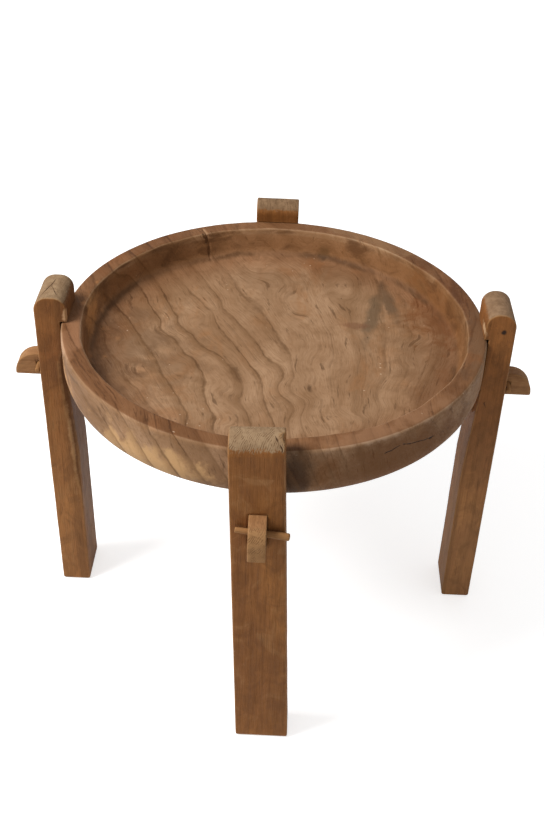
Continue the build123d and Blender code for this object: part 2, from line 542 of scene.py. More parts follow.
class Coat:
    """A wood material in the making: layers of colour over a ground, then sheen and relief."""

    def __init__(self, name: str, ground: str) -> None:
        """Starts a material.

        Args:
            name: the material's name.
            ground: the colour that lies under all its layers.
        """
        self.material = bpy.data.materials.new(name)
        self.material.use_nodes = True
        self.graph = Graph(self.material.node_tree)
        coordinates = self.graph.add("ShaderNodeTexCoord").outputs
        self.place, self.normal = Term(coordinates["Object"]), Term(coordinates["Normal"])
        self.colour: object = tone(ground)

    def lay(self, mask: object, code: str, mode: str = "MIX") -> None:
        """Lays a colour over the others where the mask is high."""
        self.colour = self.graph.blend(mask, self.colour, tone(code), mode)

    def stain(self, patches: Iterable[Patch], place: Term, grain: float) -> None:
        """Lays patches of colour over the others: marks in the wood, and painted light and shade.

        Args:
            patches: the patches.
            place: the place that they are measured from.
            grain: how coarsely they fray.
        """
        for patch in patches:
            mask = stain(self.graph, vector=place, centre=patch.centre, size=patch.size, turn=patch.turn,
                         ragged=patch.ragged, grain=grain)["mask"]
            self.lay(mask * patch.strength, patch.colour)

    def off_line(self, place: Term, line: Line) -> Term:
        """Measures how far a place is from a line.

        Args:
            place: the place.
            line: the line, which tapers towards both ends.

        Returns:
            The distance in units of half the line's width.
        """
        thin = line.width * 0.15
        widths = [thin] + [line.width] * (len(line.points) - 2) + [thin]
        spans = [segment(self.graph, vector=place, start=line.points[i], end=line.points[i + 1],
                         start_width=widths[i], end_width=widths[i + 1])["reach"]
                 for i in range(len(widths) - 1)]
        reach = spans[0]
        for span in spans[1:]:
            reach = self.graph.maths("MINIMUM", reach, span)
        return reach

    def rub(self, place: Term, amount: float, code: str) -> Term:
        """Lays a colour on the marked edges.

        Args:
            place: the place in the wood.
            amount: how strong the wear is.
            code: its colour.

        Returns:
            Where the wear is.
        """
        worn = edge_wear(self.graph, vector=place, edge=self.graph.stored("edge"), amount=amount)["mask"]
        self.lay(worn, code)
        return worn

    def finish(self, rough: Term, specular: float, relief: Term, depth: float) -> bpy.types.Material:
        """Wires the surface from the layers.

        Args:
            rough: the roughness.
            specular: the share of specular reflection.
            relief: the height of the bump.
            depth: how deep one unit of the relief is.

        Returns:
            The finished material.
        """
        bump = self.graph.add("ShaderNodeBump", {"Strength": 0.6, "Distance": depth, "Height": relief})
        inputs = self.graph.tree.nodes["Principled BSDF"].inputs
        for name, value in (("Base Color", self.colour), ("Roughness", rough),
                            ("Specular IOR Level", specular), ("Normal", Term(bump.outputs[0]))):
            self.graph.plug(inputs[name], value)
        return self.material


@dataclass(frozen=True)
class BowlFinish:
    """Dry carved hardwood: veins that flow through the slab, dark-streaked walls warmed partly by painted
    bounce light, painted shade in the cove and beside the front leg, painted light on the left walls, and a
    rubbed rim.
    """

    pale: str = "A28061"
    middle: str = "8C6A4C"
    brown: str = "705033"
    dark: str = "4A3019"
    crack: str = "26160B"
    worn: str = "AC8B6A"
    warm: str = "8F6038"
    fleck: str = "CBB093"
    # painted shade, multiplied in towards the foot of the inner wall
    dust: str = "C9A07A"
    # the inner walls' own warm tone together with painted bounce light
    wall: str = "8E6238"
    wall_stain: str = "5A3A20"
    rim: str = "BC9E80"
    rim_level: tuple[float, float] = (0.488, 0.494)
    below_rim: tuple[float, float] = (0.4925, 0.4885)
    vein_width: float = 0.082
    vein_lean: float = 18.0
    floor_level: float = 0.45
    patches: tuple[Patch, ...] = (
        Patch((-0.210, -0.010, 0.450), (0.070, 0.150, 0.060), 14.0, 0.42, "5E442F", 0.9),
        Patch((0.225, -0.050, 0.460), (0.070, 0.170, 0.080), -12.0, 0.42, "66462B", 0.8),
        Patch((0.240, 0.090, 0.470), (0.050, 0.110, 0.060), -10.0, 0.55, "70431F", 0.9),
        Patch((0.147, 0.104, 0.450), (0.014, 0.105, 0.040), 10.0, 0.75, "5C4935", 0.35),
        Patch((0.172, 0.138, 0.450), (0.014, 0.066, 0.040), -12.0, 0.75, "5A4734", 0.35),
        Patch((0.073, 0.258, 0.455), (0.017, 0.015, 0.030), 0.0, 0.80, "3B2C1A", 0.5),
        Patch((0.116, 0.075, 0.450), (0.026, 0.011, 0.030), 10.0, 0.55, "6B4630", 0.9),
        Patch((-0.052, -0.060, 0.450), (0.008, 0.026, 0.030), -20.0, 0.65, "4C3119", 0.6),
        Patch((0.053, -0.088, 0.450), (0.006, 0.012, 0.030), 0.0, 0.75, "3F2815", 0.6),
        Patch((0.165, -0.252, 0.445), (0.250, 0.062, 0.085), -34.0, 0.70, "5E3612", 0.4),
        # painted shadow: the front leg's shadow on the outer wall just right of the leg
        Patch((0.040, -0.300, 0.455), (0.030, 0.030, 0.075), 0.0, 0.80, "2E1806", 0.15),
        # painted light: lightens the inner wall on the left, which faces away from the lamp
        Patch((-0.272, 0.020, 0.470), (0.016, 0.130, 0.026), 4.0, 0.85, "E0AC74", 0.7),
        # painted shade along the foot of the front-left inner wall
        Patch((-0.090, -0.235, 0.450), (0.130, 0.026, 0.024), 24.0, 0.50, "664731", 0.9),
        Patch((0.150, 0.245, 0.502), (0.130, 0.030, 0.012), 32.0, 0.60, "AC9274", 0.8),
        Patch((0.283, -0.040, 0.502), (0.028, 0.110, 0.012), 8.0, 0.60, "8A745E", 0.8),
        Patch((0.150, -0.243, 0.502), (0.140, 0.030, 0.012), -32.0, 0.60, "B6967A", 0.8),
        Patch((0.264, 0.020, 0.490), (0.014, 0.210, 0.018), 0.0, 0.60, "5C3F28", 0.6),
        Patch((-0.140, -0.050, 0.450), (0.060, 0.120, 0.030), 24.0, 0.30, "5C4029", 0.9),
        Patch((0.020, 0.190, 0.450), (0.150, 0.050, 0.030), 0.0, 0.28, "6A4B31", 0.9),
        Patch((-0.280, -0.075, 0.500), (0.030, 0.110, 0.016), 14.0, 0.55, "B89478", 0.6),
        Patch((-0.150, -0.262, 0.437), (0.150, 0.040, 0.046), 28.0, 0.75, "BC9466", 0.9),
        # paler wood on the outer wall by the left leg, made stronger as painted light over the leg's shadow
        # there
        Patch((-0.285, -0.085, 0.445), (0.036, 0.130, 0.043), 14.0, 0.80, "B8885A", 0.9),
    )
    cracks: tuple[Line, ...] = (
        Line(((-0.136, 0.262, 0.500), (-0.121, 0.243, 0.498), (-0.108, 0.243, 0.462)), 0.0026, 1.0),
        Line(((0.136, -0.268, 0.470), (0.170, -0.247, 0.478), (0.208, -0.216, 0.466),
              (0.236, -0.186, 0.462)), 0.0018, 0.9),
        Line(((-0.264, 0.158, 0.502), (-0.255, 0.128, 0.500)), 0.0016, 0.8),
    )

    def build(self) -> bpy.types.Material:
        """Wires the material.

        Returns:
            The finished material.
        """
        coat = Coat("bowl_wood", self.middle)
        graph, place = coat.graph, coat.place
        x, y, height = place.parts()
        facing = coat.normal.parts()[2]
        growth, accent = graph.stored("growth"), graph.stored("accent")

        slab = graph.join(growth * RING_GAP + height * 0.35, height * 0.6, y)
        ringed = rings(graph, vector=slab, pith=(-1.4, 0.0, 0.0), spacing=0.017, wave=0.004,
                       wave_size=0.14, line=0.12)
        fine = rings(graph, vector=slab, pith=(-0.9, 0.0, 0.0), spacing=0.0062, wave=0.0018,
                     wave_size=0.10, line=0.16)
        fibre = fibres(graph, vector=slab, fineness=480.0, length=9.0)
        cloud = graph.noise(graph.mapped(place, scale=(1, 0.5, 1)), 9.0, 4.0, 0.6, 0.4)
        shifted = graph.mapped(place, place=(3.0, 1.0, 2.0), scale=(1, 0.6, 1))
        blotch = graph.noise(shifted, 15.0, 4.0, 0.65, 0.6)
        mottle = graph.noise(place, 46.0, 4.0, 0.65)
        swirl = graph.noise(graph.mapped(place, scale=(1, 1, 0.5)), 17.0, 4.0, 0.6)
        dash = graph.noise(graph.mapped(slab, scale=(1, 0.3, 0.14)), 150.0, 3.0, 0.7)

        coat.lay(cloud.between(0.36, 0.62), self.pale)
        coat.lay(ringed["tone"].between(0.45, 0.75, 0.0, 0.5), self.brown)
        coat.lay(blotch.between(0.50, 0.70, 0.0, 0.45), self.warm)
        coat.lay(mottle.between(0.45, 0.75, 0.0, 0.38), self.brown)
        coat.lay(ringed["line"] * 0.34, self.dark)
        coat.lay(fine["line"] * 0.20, self.dark)
        coat.lay(fibre["streak"].between(0.42, 0.7, 0.0, 0.34), self.brown)
        coat.lay(dash.between(0.585, 0.70, 0.0, 0.65), self.dark)
        bent = place + swirl.drift(0.012) + mottle.drift(0.012)
        coat.stain(self.patches, bent, 0.03)

        uneven = mottle.between(0.32, 0.62, 2.3, 0.65)
        wobble = (swirl - 0.5) * 0.42 + (mottle - 0.5) * 0.12
        ring = growth + wobble + (height - self.floor_level) * self.vein_lean
        vein = veining(graph, ring=ring, strength=accent, uneven=uneven, width=self.vein_width)
        coat.lay(vein["shade"] * 0.62, self.brown)
        broken = blotch.between(0.38, 0.58, 0.12, 0.95) * cloud.between(0.30, 0.60, 1.0, 0.55)
        coat.lay(vein["core"] * broken * 0.92, self.dark)
        cracks = ringed["line"] * 0.1
        for line in self.cracks:
            reach = coat.off_line(place + mottle.drift(0.006), line) * uneven
            core = reach.between(1.0, 0.25) * line.strength
            cracks = graph.maths("MAXIMUM", cracks, core)
            coat.lay(core, self.crack)

        radius = graph.join(x, y, 0.0).length()
        below = height.between(*self.below_rim)
        # painted shade: darkens and warms the floor towards the foot of the inner wall
        cove_shade = (radius + (blotch - 0.5) * 0.05).between(0.190, 0.262) * radius.between(0.276, 0.268)
        coat.lay(cove_shade * below * 0.5, self.dust, "MULTIPLY")
        inside = abs(facing).between(0.9, 0.35) * radius.between(0.290, 0.280)
        gouge = graph.noise(graph.mapped(place, scale=(1, 1, 2.2)), 17.0, 5.0, 0.62, 0.7)
        # steep inner faces: partly their own warmer tone, partly painted bounce light
        coat.lay(inside * 0.35, self.wall)
        coat.lay(inside * gouge.between(0.42, 0.68, 0.0, 0.80), self.wall_stain)
        # painted shade: a dark band, broken by blotches, in the cove at the foot of the inner wall
        foot = radius + (gouge - 0.5) * 0.016
        foot = foot.between(0.2535, 0.2605) * foot.between(0.2660, 0.2610) * below
        coat.lay(foot * blotch.between(0.4, 0.55, 0.2, 0.7), self.dark)
        top = facing.between(0.75, 0.95) * height.between(*self.rim_level)
        coat.lay(top * 0.8, self.rim, "MULTIPLY")

        holes = worm_holes(graph, vector=place)["mask"]
        coat.lay(holes * 0.8, self.crack)
        chips = worm_holes(graph, vector=bent, density=70.0, radius=0.0015)["mask"]
        coat.lay(chips * blotch.between(0.5, 0.6, 0.0, 0.5), self.fleck)
        worn = coat.rub(place, 0.06, self.worn)
        rough = graph.blend(worn, fibre["streak"].between(0.3, 0.8, 0.62, 0.80), 0.6)
        relief = fibre["streak"] * 0.25 + fibre["band"] * 0.5 - fibre["pore"] * 0.5
        return coat.finish(rough, 0.13, relief + gouge * 1.6 - holes * 2.5 - cracks * 3.0, 0.0008)


@dataclass(frozen=True)
class StickFinish:
    """Straight-grained hardwood of a leg, a rail or a peg, with pale weathered end grain."""

    name: str
    turn: Point
    pith: Point
    shift: Point
    pale: str = "966231"
    middle: str = "805128"
    brown: str = "633C1A"
    dark: str = "3D2410"
    end: str = "93795C"
    end_dark: str = "63462C"
    worn: str = "9C7247"
    # a tone multiplied over the upper part of the piece
    touched: str = "C8B596"
    handled: float = 0.0
    end_from: float = -10.0
    end_side: float = 0.35
    saw: Point = (0.0, 1.0, 0.0)
    lines: tuple[Line, ...] = ()
    patches: tuple[Patch, ...] = ()

    def build(self) -> bpy.types.Material:
        """Wires the material.

        Returns:
            The finished material.
        """
        coat = Coat(self.name, self.middle)
        graph = coat.graph
        stick = graph.mapped(coat.place, turn=self.turn)
        wood = stick + self.shift
        facing = graph.mapped(coat.normal, turn=self.turn).parts()[2]
        height = stick.parts()[2]

        ringed = rings(graph, vector=wood, pith=self.pith, spacing=0.0062, wave=0.010, wave_size=0.09,
                       line=0.15)
        fibre = fibres(graph, vector=wood, fineness=760.0, length=26.0)
        cloud = graph.noise(graph.mapped(wood, scale=(1, 1, 0.35)), 16.0, 4.0, 0.6, 0.5)
        mottle = graph.noise(graph.mapped(wood, scale=(1, 1, 0.6)), 60.0, 4.0, 0.6)
        shifted = graph.mapped(wood, place=(2.0, 5.0, 1.0), scale=(1, 1, 0.8))
        smear = graph.noise(shifted, 26.0, 4.0, 0.65, 1.2)

        coat.lay(cloud.between(0.36, 0.64), self.pale)
        coat.lay(ringed["tone"].between(0.45, 0.8, 0.0, 0.5), self.brown)
        coat.lay(mottle.between(0.5, 0.75, 0.0, 0.35), self.brown)
        coat.lay(fibre["band"].between(0.42, 0.68, 0.0, 0.38), self.brown)
        coat.lay(smear.between(0.46, 0.62, 0.0, 0.42), self.brown)
        coat.lay(smear.between(0.46, 0.34, 0.0, 0.30), self.worn)
        coat.lay(fibre["band"].between(0.40, 0.26, 0.0, 0.30), self.worn)
        coat.lay(ringed["line"] * 0.24, self.dark)
        coat.lay(fibre["streak"].between(0.45, 0.72, 0.0, 0.42), self.brown)
        coat.lay(fibre["pore"] * 0.25, self.dark)
        # darker higher up the piece, from about 0.14 m to fully at 0.5 m
        coat.lay((height + cloud * 0.12).between(0.14, 0.50) * self.handled, self.touched, "MULTIPLY")

        fray = graph.noise(graph.mapped(wood, scale=(1, 1, 0.1)), 520.0, 3.0, 0.6)
        level = abs(facing) + fray.between(0.3, 0.7, -0.14, 0.14)
        ends = level.between(self.end_side, self.end_side + 0.22)
        ends = ends * height.between(self.end_from, self.end_from + 0.01)
        saw = saw_marks(graph, vector=stick, direction=self.saw)["score"]
        face = tone(self.end)
        for mask in (mottle.between(0.35, 0.7, 0.0, 0.4), ringed["line"] * 0.45, saw * 0.7):
            face = graph.blend(mask, face, tone(self.end_dark))
        coat.colour = graph.blend(ends, coat.colour, face)

        coat.stain(self.patches, stick, 0.01)
        cracks = saw * 0.12
        for line in self.lines:
            reach = coat.off_line(stick + mottle.drift(0.004), line)
            mask = reach.between(1.0, 0.3) * line.strength
            coat.lay(mask, line.colour or self.dark)
            cracks = graph.maths("MAXIMUM", cracks, mask) if line.deep else cracks
        coat.rub(wood, 0.55, self.worn)
        rough = graph.blend(ends, fibre["streak"].between(0.3, 0.8, 0.58, 0.78), 0.85)
        relief = fibre["streak"] * 0.35 + fibre["band"] * 0.4 - fibre["pore"] * 0.4
        return coat.finish(rough, 0.16, relief - saw * ends * 1.2 - cracks * 3.0, 0.0007)


# ---- Mesh work ----


def steps(start: float, end: float, size: float) -> list[float]:
    """Places from start to end, both left out, about one size apart."""
    count = max(int(round((end - start) / size)), 1)
    return [start + (end - start) * i / count for i in range(1, count)]


def twice(places: Iterable[float]) -> list[float]:
    """The places below nothing, then the same places above it."""
    places = list(places)
    return [sign * place for sign in (-1, 1) for place in places]


def show(bm: BMesh, name: str, material: bpy.types.Material) -> bpy.types.Object:
    """Turns a mesh into an object of the scene, with one material.

    Args:
        bm: the mesh.
        name: the object's name.
        material: its finish.

    Returns:
        The object.
    """
    mesh = bpy.data.meshes.new(name)
    bm.to_mesh(mesh)
    bm.free()
    mesh.materials.append(material)
    piece = bpy.data.objects.new(name, mesh)
    bpy.context.scene.collection.objects.link(piece)
    return piece


class Piece:
    """A piece in the making: a mesh in a frame of its own, and the steps that several pieces share."""

    def __post_init__(self) -> None:
        """Starts an empty mesh."""
        self.bm = bmesh.new()

    def outline(self, corners: Sequence[Point], closed: bool) -> list[BMVert]:
        """Draws a chain of edges.

        Args:
            corners: the corners in order.
            closed: whether the last corner joins the first.

        Returns:
            The vertices at the corners.
        """
        verts = [self.bm.verts.new(corner) for corner in corners]
        for first, second in zip(verts, verts[1:] + verts[:1] if closed else verts[1:]):
            self.bm.edges.new((first, second))
        return verts

    def ease(self, parts: list[BMVert] | list[BMEdge], reach: float, facets: int) -> None:
        """Rounds corners of a flat outline, or edges of a solid.

        Args:
            parts: the corners or the edges.
            reach: how far the rounding reaches to each side.
            facets: how many facets it has.
        """
        corners = isinstance(parts[0], BMVert)
        bmesh.ops.bevel(self.bm, geom=parts, offset=reach, offset_type="OFFSET", segments=facets,
                        profile=0.5, affect="VERTICES" if corners else "EDGES",
                        clamp_overlap=not corners, material=-1)

    def thicken(self, width: float, edge: float, facets: int) -> None:
        """Makes a board of a flat outline that lies half the width towards -Y, and rounds its long edges.

        Args:
            width: the board's width along Y.
            edge: how far the rounding of an edge reaches.
            facets: how many facets the rounding has.
        """
        face = bmesh.ops.contextual_create(self.bm, geom=list(self.bm.edges))["faces"][0]
        extruded = bmesh.ops.extrude_face_region(self.bm, geom=[face])["geom"]
        bmesh.ops.translate(self.bm, verts=[v for v in extruded if isinstance(v, BMVert)], vec=(0, width, 0))
        bmesh.ops.recalc_face_normals(self.bm, faces=list(self.bm.faces))
        self.ease([e for e in self.bm.edges if abs(e.verts[0].co.y - e.verts[1].co.y) < 1e-7], edge, facets)

    def cut(self, axis: int, places: Iterable[float], **settings: bool) -> None:
        """Cuts the whole mesh square to an axis.

        Args:
            axis: the number of the axis.
            places: where the cuts are along it.
            settings: further settings of the cut.
        """
        normal = Vector((0, 0, 0))
        normal[axis] = 1.0
        for place in places:
            whole = list(self.bm.verts) + list(self.bm.edges) + list(self.bm.faces)
            bmesh.ops.bisect_plane(self.bm, geom=whole, dist=1e-6, plane_co=normal * place,
                                   plane_no=normal, **settings)

    def open_box(self, axis: int, low: Point, high: Point) -> list[BMEdge]:
        """Deletes the faces that look along an axis and lie in a box.

        Args:
            axis: the number of the axis.
            low: the lowest corner of the box.
            high: its highest corner.

        Returns:
            The edges of the openings.
        """
        faces = [face for face in self.bm.faces if abs(face.normal[axis]) > 0.9
                 and all(a < c < b for a, c, b in zip(low, face.calc_center_median(), high))]
        bmesh.ops.delete(self.bm, geom=faces, context="FACES")
        return [e for e in self.bm.edges if e.is_boundary]

    def mark_edges(self) -> None:
        """Writes how sharply each vertex stands out, softened once, to the layer called edge."""
        layer = self.bm.verts.layers.float.new("edge")
        sharp = {}
        for vert in self.bm.verts:
            angles = [e.calc_face_angle_signed(0.0) for e in vert.link_edges if len(e.link_faces) == 2]
            sharp[vert] = smooth(max(angles, default=0.0), 0.16, 0.42)
        for vert in self.bm.verts:
            near = [sharp[e.other_vert(vert)] for e in vert.link_edges]
            vert[layer] = max(sharp[vert], 0.5 * sum(near) / max(len(near), 1))

    def weather(self, seed: float, depth: float, size: float,
                keep: Callable[[Vector], float] = lambda place: 1.0) -> None:
        """Lets the surface sink unevenly, so that it looks worked by hand.

        Args:
            seed: moves the pattern, so that no two pieces match.
            depth: how deep the surface sinks at most.
            size: how far apart the hollows are.
            keep: a share of the depth for each place.
        """
        self.bm.normal_update()
        shift = Vector((seed * 3.1, seed * 1.7, seed * 2.3))
        moves = []
        for vert in self.bm.verts:
            value = noise.fractal(vert.co / size + shift, 1.0, 2.0, 3) * 0.5 + 0.5
            moves.append(vert.normal * (-depth * min(max(value, 0.0), 1.0) * keep(vert.co)))
        for vert, move in zip(self.bm.verts, moves):
            vert.co += move

    def dress(self, name: str, body: str, node: str, slot: Slot, place: Matrix) -> bpy.types.Object:
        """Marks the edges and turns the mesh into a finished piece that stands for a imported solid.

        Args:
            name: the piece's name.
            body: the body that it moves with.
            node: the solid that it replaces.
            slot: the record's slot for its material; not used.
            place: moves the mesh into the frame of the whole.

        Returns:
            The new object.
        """
        self.mark_edges()
        bmesh.ops.transform(self.bm, matrix=place, verts=list(self.bm.verts))
        piece = show(self.bm, name, self.finish.build())
        piece.data.polygons.foreach_set("use_smooth", [True] * len(piece.data.polygons))
        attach(piece, body)
        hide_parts(node)
        log.info("%s: %d faces, rides on %s, stands for %s", name, len(piece.data.polygons), body, node)
        return piece


# ---- The pieces ----


@dataclass(frozen=True)
class Tenon:
    """The tenons of a rail: top, height, reach past the leg, rounding of the tip and tilt of the peg."""

    top: float
    height: float
    reach: float
    tip_round: float
    peg_tilt: float

    @property
    def middle(self) -> float:
        """Height of the middle of the tenon above the floor."""
        return self.top - self.height / 2

    @property
    def bottom(self) -> float:
        """Height of the underside of the tenon above the floor."""
        return self.top - self.height


@dataclass
class Sizes:
    """Sizes that the bowl and the stand share."""

    rim: float = 0.500
    radius: float = 0.300
    depth: float = 0.086
    turn: float = 0.038
    gap: float = 0.0003
    leg_thickness: float = 0.0445
    neck: float = 0.0345
    neck_drop: float = 0.085
    taper: float = 0.150
    bite: float = 0.0015
    rail: float = 0.023
    long_offset: float = -0.006
    cross_tenon: Tenon = Tenon(0.430, 0.0365, 0.042, 0.033, -5.0)
    long_tenon: Tenon = Tenon(0.428, 0.0515, 0.031, 0.0265, 7.5)
    peg_thin: float = 0.0075
    peg_thick: float = 0.0105
    peg_rise: float = 0.002
    hole: float = 0.00984

    @property
    def underside(self) -> float:
        """Height of the bowl's flat underside."""
        return self.rim - self.depth

    @property
    def leg_outside(self) -> float:
        """Distance from the middle to a leg's outer face."""
        return self.radius + self.gap + self.neck

    @property
    def leg_inside(self) -> float:
        """Distance from the middle to a leg's inner face below the taper."""
        return self.leg_outside - self.leg_thickness

    @property
    def neck_inside(self) -> float:
        """Distance from the middle to a leg's inner face beside the bowl, before the saddle is cut."""
        return self.radius + self.gap - self.bite

    @property
    def peg_radius(self) -> float:
        """Distance from the middle to a peg's axis."""
        return self.leg_outside + self.gap + self.peg_thick / 2

    def tenon(self, station: Station) -> Tenon:
        """The tenon at a station."""
        return self.cross_tenon if station in (Station.RIGHT, Station.LEFT) else self.long_tenon

    def place(self, station: Station) -> Matrix:
        """The frame of the leg at a station: X runs outward and Y runs across."""
        aside = self.long_offset if self.tenon(station) is self.long_tenon else 0.0
        return Matrix.Translation((aside, 0, 0)) @ station.turn

    def leg_face(self, height: float) -> float:
        """Distance from the middle to a leg's inner face at a height in its taper or below it."""
        share = (self.rim - self.neck_drop - height) / self.taper
        return self.neck_inside + (self.leg_inside - self.neck_inside) * share

    def peg_way(self, station: Station) -> int:
        """Which way along Y a peg's thick end points, in the leg's frame."""
        return -1 if station is Station.LEFT else 1

    def peg_height(self, station: Station) -> float:
        """Height of the peg's axis at the middle of its tenon."""
        return self.tenon(station).middle + self.peg_rise

    def seat(self, radius: float) -> float:
        """Height of the bowl's underside at a distance from the middle.

        Args:
            radius: the distance from the middle.

        Returns:
            The height, less the gap.
        """
        start, reach = self.radius - self.turn, self.turn + self.gap
        if radius <= start:
            return self.underside - self.gap
        if radius >= start + reach:
            return self.underside + self.turn
        return self.underside + self.turn - math.sqrt(reach**2 - (radius - start) ** 2)


@dataclass
class Bowl(Piece):
    """The bowl: one slab, turned under at its edge and carved out, with a split in its rim."""

    sizes: Sizes
    finish: BowlFinish = field(default_factory=BowlFinish)
    rim_width: float = 0.0275
    batter: float = 0.008
    wall_drop: float = 0.042
    dish_drop: float = 0.058
    cove: float = 0.011
    outer_bevel: float = 0.0062
    inner_bevel: float = 0.0030
    sectors: tuple[tuple[float, float, int], ...] = ((-60.0, 108.0, 135), (108.0, 124.0, 44),
                                                     (124.0, 300.0, 141))
    split: tuple[float, float] = (-0.1215, 0.2525)
    split_half: float = 0.0026
    split_drop: float = 0.004
    split_push: float = 0.003
    rim_wander: float = 0.0028
    wall_sink: float = 0.0005
    rim_sink: float = 0.00035
    floor_swell: float = 0.0009
    veins: tuple[Vein, ...] = (
        Vein(0, 0.5, ((-260, 40), (-230, -30), (-200, -90), (-165, -145))),
        Vein(1, 0.95, ((-260, 130), (-225, 70), (-200, 25), (-175, -25), (-155, -70), (-130, -120))),
        Vein(2, 1.0, ((-230, 170), (-205, 135), (-175, 70), (-145, 15), (-105, -50), (-90, -120),
                      (-70, -210))),
        Vein(3, 0.85, ((-185, 160), (-160, 100), (-140, 50), (-110, 10), (-75, -25), (-50, -75),
                       (-25, -175))),
        Vein(4, 0.6, ((-145, 165), (-120, 125), (-100, 100))),
        Vein(5, 1.0, ((-80, 100), (-60, 75), (-40, 40), (-25, 10), (-10, -20), (10, -45), (30, -140))),
        Vein(7, 0.26, ((-60, 240), (10, 120), (45, -40), (50, -85), (60, -150))),
        Vein(8, 0.14, ((-15, 285), (15, 250), (45, 205), (60, 145), (75, 95), (90, 30), (90, -85),
                       (110, -160))),
        Vein(9, 0.22, ((100, 270), (130, 180), (120, 90), (130, 0), (130, -45), (120, -145))),
        Vein(11, 0.16, ((190, 190), (200, 90), (190, 0), (175, -100), (165, -180))),
        Vein(12, 0.55, ((205, 245), (240, 140), (250, 50), (240, -10), (225, -55), (210, -105))),
    )

    @property
    def lip(self) -> float:
        """Distance from the middle to the inner edge of the rim."""
        return self.sizes.radius - self.rim_width

    def build(self) -> bpy.types.Object:
        """Spins the section, works the surface by hand and dresses it.

        Returns:
            The bowl.
        """
        self.draw_section()
        self.spin()
        self.lay_grain()
        self.carve()
        return self.dress("carved_bowl", "stand", "bowl", Slot.BOWL, Matrix())

    def draw_section(self) -> None:
        """Draws half the bowl's section, from the middle of the underside to the middle of the floor."""
        s = self.sizes
        corner = (self.lip - self.batter, 0, s.rim - self.wall_drop)
        middle = s.rim - self.dish_drop
        verts = self.outline([(0, 0, s.underside), (s.radius, 0, s.underside), (s.radius, 0, s.rim),
                                     (self.lip, 0, s.rim), corner, (0, 0, middle)], closed=False)
        for vert, reach, facets in zip(verts[1:], (s.turn, self.outer_bevel, self.inner_bevel, self.cove),
                                       (14, 6, 3, 7)):
            self.ease([vert], reach, facets)
        for edge in list(self.bm.edges):
            length = edge.calc_length()
            size = 0.008 if length > 0.2 else 0.0026
            if length > size * 1.5:
                bmesh.ops.subdivide_edges(self.bm, edges=[edge], cuts=int(length / size))
        for vert in self.bm.verts:
            if vert.co.x < corner[0] - self.cove + 0.001 and vert.co.z > s.underside + 0.02:
                share = vert.co.x / corner[0]
                vert.co.z = middle + (corner[2] - middle) * share * share

    def spin(self) -> None:
        """Spins the section all round, in finer steps where the rim is split."""
        last: list = list(self.bm.verts) + list(self.bm.edges)
        bmesh.ops.rotate(self.bm, verts=list(self.bm.verts), cent=(0, 0, 0),
                         matrix=Matrix.Rotation(math.radians(self.sectors[0][0]), 3, "Z"))
        for start, end, count in self.sectors:
            last = bmesh.ops.spin(self.bm, geom=last, cent=(0, 0, 0), axis=(0, 0, 1), dvec=(0, 0, 0),
                                  angle=math.radians(end - start), steps=count, use_merge=False,
                                  use_duplicate=False)["geom_last"]
        bmesh.ops.remove_doubles(self.bm, verts=list(self.bm.verts), dist=2e-5)
        bmesh.ops.recalc_face_normals(self.bm, faces=list(self.bm.faces))

    def lay_grain(self) -> None:
        """Writes which ring of the tree each vertex lies in, and how dark it is there."""
        growth, accent = (self.bm.verts.layers.float.new(name) for name in ("growth", "accent"))
        marks = []
        for vein in self.veins:
            course = [Vector(point) for point in vein.course]
            for index, point in enumerate(course):
                along = course[min(index + 1, len(course) - 1)] - course[max(index - 1, 0)]
                across = Vector((-along.y, along.x)).normalized() / (RING_GAP * 1000)
                marks.append((point, vein.ring, across, vein.strength))
        for vert in self.bm.verts:
            place = vert.co.xy * 1000
            total = count = dark = 0.0
            for point, ring, across, strength in marks:
                away = place - point
                weight = 1 / (away.length_squared + 40) ** 2
                total += weight
                count += weight * (ring + across.dot(away))
                dark += weight * strength
            vert[growth], vert[accent] = count / total, dark / total

    def carve(self) -> None:
        """Gives the wall, the rim and the floor the unevenness of hand carving, and opens the split."""
        s, lip = self.sizes, self.lip
        split = Vector(self.split)
        across = Vector((split.y, -split.x)).normalized()
        for vert in self.bm.verts:
            place = vert.co.copy()
            flat, drop = place.xy, s.rim - place.z
            radius = flat.length
            if radius < 1e-6:
                continue
            ring = Vector((place.x / radius, place.y / radius, 0))
            if drop < 0.06 and radius > 0.25:
                wander = noise.noise(ring * 2.3) + 0.5 * noise.noise(ring * 8.0 + place * 4)
                wander *= self.rim_wander
                vert.co += ring * wander * smooth(radius, s.radius - 0.002, lip + 0.002) * smooth(
                    radius, 0.252, 0.262)
            if radius > 0.262 and place.z > s.underside + 0.001:
                sink = noise.noise(place * 14.0) + 1 + 0.6 * (noise.noise(place * 50.0) + 1)
                sink *= self.wall_sink
                vert.co -= ring * sink * smooth(radius, s.radius - 0.012, s.radius - 0.001) * smooth(
                    drop, 0.0, 0.006)
            if drop < 0.004:
                vert.co.z -= self.rim_sink * (noise.noise(ring * 4.0) + 1)
                vert.co.z -= 0.0004 * abs(noise.noise(place * 60))
            if radius < lip and drop < self.dish_drop + 0.002:
                swell = noise.noise(place * 11.0) + noise.noise(place * 45.0) / 3
                vert.co.z += self.floor_swell * swell
            if flat.dot(split) > 0 and radius > 0.255 and place.z > 0.456:
                wander = 0.0022 * noise.noise(Vector((radius * 60, place.z * 70, 0.3)))
                off = abs(flat.dot(across) + wander - 0.0035 * smooth(drop, 0.0, 0.03))
                depth = smooth(off, self.split_half, 0.0004) * smooth(radius, 0.2975, 0.286)
                vert.co.z -= self.split_drop * depth * smooth(radius, lip - 0.002, lip + 0.001)
                vert.co += ring * self.split_push * depth * smooth(radius, lip + 0.002, lip - 0.001)


